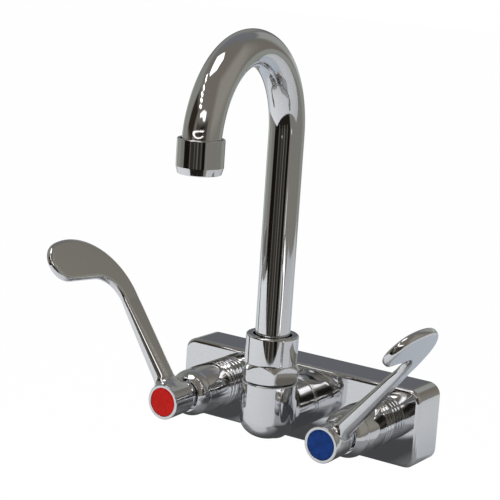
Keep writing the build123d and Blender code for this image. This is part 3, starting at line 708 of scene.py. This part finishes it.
def from_hub(points):
    """Distance of points from the hub's tapered wall."""
    taper = (hub_front_radius - hub_rear_radius) * (points[..., 2] - hub_rear) / (hub_front - hub_rear)
    return np.hypot(points[..., 0], points[..., 1]) - hub_rear_radius - taper


def from_arm(points):
    """Distance of points from the arm's root, taken as a bar with round edges."""
    middle, tall = (arm_back + arm_front) / 2, (arm_front - arm_back) / 2
    beside = np.abs(points[..., 0]) - (root_half - root_edge)
    above = np.abs(points[..., 2] - middle) - (tall - root_edge)
    outside = np.hypot(np.maximum(beside, 0), np.maximum(above, 0))
    return outside + np.minimum(np.maximum(beside, above), 0) - root_edge + np.maximum(4 - points[..., 1], 0)


def make_handle(side, x, angle):
    """Wrist-blade handle: arm and blade in one plate, and the drilled hub that they blend into."""
    softness, body, stands_for = 4.4, f"{side}_handle_set", f"{side}_handle"
    arm = on_valve(blend_into(arm_skin(), from_hub, softness, False), x, angle)
    hub = on_valve(blend_into(hub_skin(), from_arm, softness), x, angle)
    add_piece(f"{side}_handle_arm", arm, body, "chrome", stands_for, False)
    add_piece(f"{side}_handle_hub", hub, body, "chrome", stands_for)


def make_index_button(side, x, angle):
    """Index button: a shallow dome with a rolled rim, seated in the hub's pocket."""
    crown, rim_radius, rim, side_top = 79.32, 7.3, 79.16, 78.95
    section = rounded([(0, crown, 0), (rim_radius, rim, 0.8), (button_radius, side_top, 0.25),
                       (button_radius, button_seat, 0.1), (0, button_seat, 0)], 8, 0.05, False)[1:-1]
    add_piece(f"{side}_index_button", on_valve(spun(section, 96), x, angle), f"{side}_handle_set",
              f"{side}_index", f"{side}_index_cap", False)


# ---- studio: what the plate mirrors -----------------------------------------------------------
def on_sky(az, el):
    """Unit vector of each direction: azimuth 0 towards the user and growing to the right, elevation up."""
    az, el = np.radians(az), np.radians(el)
    return np.stack([np.sin(az) * np.cos(el), -np.cos(az) * np.cos(el), np.sin(el)], -1)


def eased(share):
    """Share held between 0 and 1, with a gentle start and end: 3 s^2 - 2 s^3."""
    step = np.clip(share, 0, 1)
    return step * step * (3 - 2 * step)


def rising(value, start, run):
    """0 before the start, 1 after the run, and even between them."""
    return np.clip((value - start) / run, 0, 1)


def falling(value, end, run):
    """1 until a run before the end, 0 after the end, and even between them."""
    return np.clip((end - value) / run, 0, 1)


def soft_box(az, el, spot, size, turn=0.0, soft=3.0):
    """How far each direction lies inside a turned rectangle on the sky, from 0 to 1, with soft edges.

    Sizes are half widths in degrees, and the azimuth shrinks with the cosine of the elevation.
    """
    across = ((az - spot[0] + 180) % 360 - 180) * np.cos(np.radians(spot[1]))
    up = el - spot[1]
    cosine, sine = np.cos(np.radians(turn)), np.sin(np.radians(turn))
    along, aside = across * cosine + up * sine, up * cosine - across * sine
    return eased(np.minimum(size[0] - np.abs(along), size[1] - np.abs(aside)) / soft + 0.5)


def pane(az, el, corners, soft=2.0):
    """How far each direction lies inside a straight-sided pane on the sky, from 0 to 1, with soft edges.

    Each side is the great circle through two neighbouring corners, and the distance inside is the least
    angle from a side.
    """
    sky, frame_at = on_sky(az, el), on_sky(*np.array(corners, float).T)
    sides = np.cross(frame_at, np.roll(frame_at, -1, 0))
    sides *= np.sign(sides @ frame_at.mean(0))[:, None] / np.linalg.norm(sides, axis=1)[:, None]
    return eased(np.degrees((sky @ sides.T).min(-1)) / soft + 0.5)


def light_room(az, el):
    """Brightness of the room round the faucet for each direction, laid patch over patch.

    Each tone is the one that the plate shows, so it is divided by the plate's own brightness.  A patch is
    a soft box: spot, half size, turn, softness of its edge, and tone.
    """
    plate = 0.79
    room = np.zeros(az.shape + (3,))
    room[:] = np.array(linear(108, 103, 95)[:3]) / plate

    def lay(mask, tone, strength=1.0):
        room[...] = room + (np.array(linear(*tone)[:3]) / plate * strength - room) * mask[..., None]

    def lay_boxes(boxes, within=1.0):
        for spot, size, turn, soft, tone in boxes:
            lay(within * soft_box(az, el, spot, size, turn, soft), tone)

    lay_boxes((((112, 25), (32, 24), 0, 24, (134, 130, 122)),      # wall on the right
               ((-105, 18), (48, 24), 0, 16, (128, 129, 122)),     # wall on the left
               ((-150, 50), (26, 12), 0, 30, (103, 105, 111)),     # bluish ceiling behind it
               ((-147, 13), (28, 8), 0, 8, (93, 94, 98)),          # shelf at the back
               ((-38, 20), (19, 16), -12, 10, (44, 37, 31)),       # dark doorway
               ((26, 8), (30, 12), 0, 8, (60, 57, 52)),            # shade under the windows
               ((30, 11), (10, 6), 0, 4, (26, 23, 20)),            # and its darkest part
               ((-178, 17), (13, 20), 0, 8, (140, 141, 137)),      # pale wall behind the faucet
               ((-148, 2), (36, 4), 0, 3, (165, 166, 162))))       # pale ledge at the back
    for lamp in ((-49.9, 52.5), (-32.6, 48.3), (-24.5, 43.8), (-15.0, 39.8), (-7.6, 34.9)):
        lay(soft_box(az, el, lamp, (6.0, 1.1), 0, 1.5), (255, 250, 248), 3.6)
    upper_window = (2, 29.0), (20, 32.4), (38, 29.0), (32, 26.0), (6, 25.4)
    lower_window = (18, 27), (39, 28), (38, 21.2), (28, 21.8)
    skylight = (-28, 62), (-45, 60), (-90, 62.5), (-112, 78), (40, 86), (10, 73)
    lay(pane(az, el, upper_window), (255, 252, 250), 1.25)
    lay(pane(az, el, lower_window), (255, 252, 250), 1.25)
    lay(pane(az, el, skylight), (255, 255, 255), 1.6)

    below = falling(el, 0, 3)
    lay(below, (118, 115, 108))
    lay_boxes((((-140, -6), (70, 11), 0, 12, (132, 134, 128)),     # pale floor at the back
               ((-114, -10), (7, 14), 0, 5, (182, 184, 180)),      # bright strip on it
               ((4, -32), (43, 32), 0, 4, (30, 27, 24)),           # dark floor before the user
               ((8, -8), (30, 9), 0, 3, (50, 46, 42))), below)     # and its far edge
    bars = (-14, 1.5, 92), (-3, 1.0, 30), (6, 1.5, 84), (20, 2.0, 100), (27, 1.0, 26), (37, 2.5, 78)
    lay_boxes([((bar, -10), (width, 12), 0, 2.0, (grey, 0.98 * grey, 0.92 * grey))
               for bar, width, grey in bars], below)
    lay_boxes((((-30, -9), (11, 12), 0, 3, (20, 17, 15)),          # dark cupboards on either side
               ((48, -9), (4, 12), 0, 3, (14, 12, 9)),
               ((64, -11.5), (1.2, 2.5), 0, 1.5, (255, 255, 255))), below)   # glint between them
    return room


def bare_material(name):
    """New material without nodes, and the short calls for it."""
    material = bpy.data.materials.new(name)
    material.use_nodes = True
    material.node_tree.nodes.clear()
    return material, NodeTree(material.node_tree)


def add_mirrored(name, points, material, tone=None, closed=False):
    """Grid of points that only metal reflects: no camera sees it, and it neither lights nor shades the rest.

    The points' tones, where given, become the colour attribute that the material reads.
    """
    index = np.arange(points.shape[0] * points.shape[1]).reshape(points.shape[:2])
    if closed:
        index = np.concatenate([index, index[:, :1]], 1)
    quads = np.stack([index[:-1, :-1], index[:-1, 1:], index[1:, 1:], index[1:, :-1]], -1)
    mesh = bpy.data.meshes.new(name)
    mesh.from_pydata(points.reshape(-1, 3).tolist(), [], quads.reshape(-1, 4).tolist())
    if tone is not None:
        colours = np.concatenate([tone, np.ones(points.shape[:2] + (1,))], -1)
        mesh.attributes.new("tone", "FLOAT_COLOR", "POINT").data.foreach_set("color", colours.ravel())
    mesh.materials.append(material)
    piece = bpy.data.objects.new(name, mesh)
    bpy.context.collection.objects.link(piece)
    piece.visible_camera = False
    piece.visible_diffuse = False
    piece.visible_shadow = False
    piece.visible_volume_scatter = False


def make_room():
    """Dome of the room: a ball of directions, each with its brightness."""
    columns, rows, radius, height = 430, 215, 3.0, 0.1
    az, el = np.meshgrid(np.linspace(-180, 180, columns, endpoint=False), np.linspace(-89.5, 89.5, rows))
    material, tree = bare_material("room_tones")
    light = tree.add("ShaderNodeEmission")
    tree.join(tree.add("ShaderNodeAttribute", attribute_name="tone").outputs["Color"], light.inputs["Color"])
    tree.show(light.outputs["Emission"])
    add_mirrored("room", radius * on_sky(az, el) + (0, 0, height), material, light_room(az, el), closed=True)


def make_hoop_lamp():
    """Lamp hoop close in front of the spout's end: an oval band, open on its right.

    Seen from the spout's end, its directions are those of the middle plus the half width and half height
    times the cosine and sine of an even angle, for each scale across the band; a point is its direction
    times the distance.
    """
    seen_from, distance, middle, half_size = np.array([0.012, -0.150, 0.160]), 0.25, (16, 9.6), (32, 3.4)
    band, around = np.meshgrid(np.linspace(0.80, 1.20, 3), np.radians(np.linspace(38, 322, 72)))
    points = seen_from + distance * on_sky(middle[0] + half_size[0] * band * np.cos(around),
                                           middle[1] + half_size[1] * band * np.sin(around))
    material, tree = bare_material("hoop_lamp_light")
    tree.show(tree.plain_shader("ShaderNodeEmission", Color=linear(255, 246, 240), Strength=1.6))
    add_mirrored("hoop_lamp", points, material)


def make_table():
    """Pale table top close under the faucet, turned with its front edge towards the camera.

    The paper's own tone grows darker towards the right.  Over it lies painted shade: the tone is times
    1 - depth * exp(-(distance / fade)^4), with the distance that from the oblong painted shade under body and
    bonnets.  The shade's front edge steps out on the right and draws back under the elbow, it is lighter on
    the right, and behind the body painted shade makes the paper duller and bluer.
    """
    height, turn, near_edge, far_edge, left, right = -0.040, radians(29), 0.31, 0.5, 0.54, 0.60
    shade_x, shade_half, shade_back, fade = 0.025, 0.128, 0.017, 0.014
    toward = np.array([np.sin(turn), -np.cos(turn), 0])
    along = np.array([np.cos(turn), np.sin(turn), 0])
    share = np.linspace(0, 1, 161)[:, None, None]
    points = ((near_edge - share * (near_edge + far_edge)) * toward
              + np.linspace(-left, right, 241)[None, :, None] * along + np.array([0, 0, height]))
    x, y = points[..., 0], points[..., 1]
    # painted shade under body and bonnets: its front edge, and each point's distance from the oblong
    shade_front = -0.082 - 0.024 * rising(x, 0.02, 0.02) + 0.025 * np.exp(-(x / 0.028) ** 2)
    distance = np.hypot(np.maximum(np.abs(x - shade_x) - shade_half, 0),
                        np.maximum(y - shade_back, 0) + np.maximum(shade_front - y, 0))
    depth = 0.52 - 0.08 * rising(x, 0.03, 0.05)
    # painted shade behind the body, which makes the paper duller and bluer there
    behind = (rising(y, 0.01, 0.05) * falling(x, 0.14, 0.05))[..., None]
    tone = ((0.67 - 0.18 * x) * (1 - depth * np.exp(-(distance / fade) ** 4)))[..., None]
    tone = tone * np.array([0.975, 0.985, 1.0]) * (1 - behind * np.array([0.26, 0.21, 0.15]))
    paper = Finish("table_paper", roughness=0.9, specular_ior_level=0.0)
    paper.join(paper.add("ShaderNodeAttribute", attribute_name="tone").outputs["Color"],
               paper.shader.inputs["Base Color"])
    add_mirrored("table", points, paper.material, tone)


def make_painted_shadow_sheet():
    """Painted contact shadow under the body: an unlit dark sheet, in two parts that fade out at their rims
    and between the bonnets.
    """
    height = -0.0226
    x, y = np.meshgrid(np.linspace(-0.10, 0.11, 211), np.linspace(-0.11, 0.01, 121))
    right_part = rising(x, -0.020, 0.012) * falling(x, 0.080, 0.022)
    left_part = rising(x, -0.095, 0.015) * falling(x, -0.038, 0.010)
    front_edge = -0.070 - 0.018 * rising(x, 0.036, 0.012) - 0.006 * falling(x, -0.050, 0.010)
    painted_shadow_cover = np.clip(right_part + left_part, 0, 1) * rising(y, front_edge, 0.014)
    material, tree = bare_material("painted_shadow_material")
    # painted shadow: an unlit dark tone, mixed with transparency where the sheet fades out
    tree.show(tree.mixed(tree.add("ShaderNodeAttribute", attribute_name="tone").outputs["Fac"],
                         tree.plain_shader("ShaderNodeBsdfTransparent"),
                         tree.plain_shader("ShaderNodeEmission", Color=(0.072, 0.072, 0.076, 1))))
    add_mirrored("stand", np.stack([x, y, height + 0 * x], -1), material, np.repeat(painted_shadow_cover[..., None], 3, -1))


# ---- studio: floor, world and lamps -----------------------------------------------------------
def make_floor():
    """Plain pale floor well below the faucet: it keeps the shadow, and reads white to the camera."""
    height, reach, white_share = -0.60, 14.0, 0.94
    mesh = bpy.data.meshes.new("floor")
    mesh.from_pydata([(-reach, -reach, height), (reach, -reach, height),
                      (reach, reach, height), (-reach, reach, height)], [], [(0, 1, 2, 3)])
    material, tree = bare_material("floor_paper")
    seen = tree.add("ShaderNodeLightPath").outputs["Is Camera Ray"]
    tree.show(tree.mixed(tree.combined("MULTIPLY", seen, white_share),
                         tree.plain_shader("ShaderNodeBsdfDiffuse", Color=(0.88, 0.88, 0.88, 1)),
                         tree.plain_shader("ShaderNodeEmission", Strength=1.02)))
    mesh.materials.append(material)
    floor = bpy.data.objects.new("floor", mesh)
    floor.visible_glossy = False
    bpy.context.collection.objects.link(floor)


def light_world():
    """White surroundings for the camera and for metal and glass, and a plain level for everything else."""
    world = bpy.data.worlds.new("studio")
    bpy.context.scene.world = world
    world.use_nodes = True
    world.node_tree.nodes.clear()
    tree = NodeTree(world.node_tree)
    path = tree.add("ShaderNodeLightPath").outputs
    seen = tree.combined("MAXIMUM", path["Is Camera Ray"], path["Is Glossy Ray"])
    seen = tree.combined("MAXIMUM", seen, path["Is Transmission Ray"])
    plain = tree.plain_shader("ShaderNodeBackground", Color=(0.62, 0.62, 0.62, 1))
    white = tree.plain_shader("ShaderNodeBackground", Color=(1, 1, 1, 1))
    tree.show(tree.mixed(seen, plain, white), "ShaderNodeOutputWorld")


def hang_lamps():
    """Two broad soft lamps, overhead and front left, that shade the unplated pieces."""
    for name, place, size, power in (("overhead_lamp", (-0.3, -0.2, 1.4), 1.2, 9.0),
                                     ("front_lamp", (-0.7, -1.2, 0.8), 0.9, 5.0)):
        lamp = bpy.data.lights.new(name, "AREA")
        lamp.size = size
        lamp.energy = power
        holder = bpy.data.objects.new(name, lamp)
        place = Vector(place)
        holder.matrix_world = Matrix.Translation(place) @ place.to_track_quat("Z", "Y").to_matrix().to_4x4()
        holder.visible_glossy = False
        bpy.context.collection.objects.link(holder)


aim_camera()
dress_carried_pieces()
make_elbow()
make_spout_nut()
make_gooseneck()
make_aerator_collar()
for side, x, angle in (("hot", -valve_x, hot_angle), ("cold", valve_x, cold_angle)):
    make_bonnet(side, x, angle)
    make_threaded_shank(side, x)
    make_pressed_washer(side, x)
    make_chamfered_locknut(side, x)
    make_handle(side, x, angle)
    make_index_button(side, x, angle)
make_room()
make_hoop_lamp()
make_table()
make_painted_shadow_sheet()
make_floor()
light_world()
hang_lamps()
bpy.context.scene.view_settings.view_transform = "Standard"
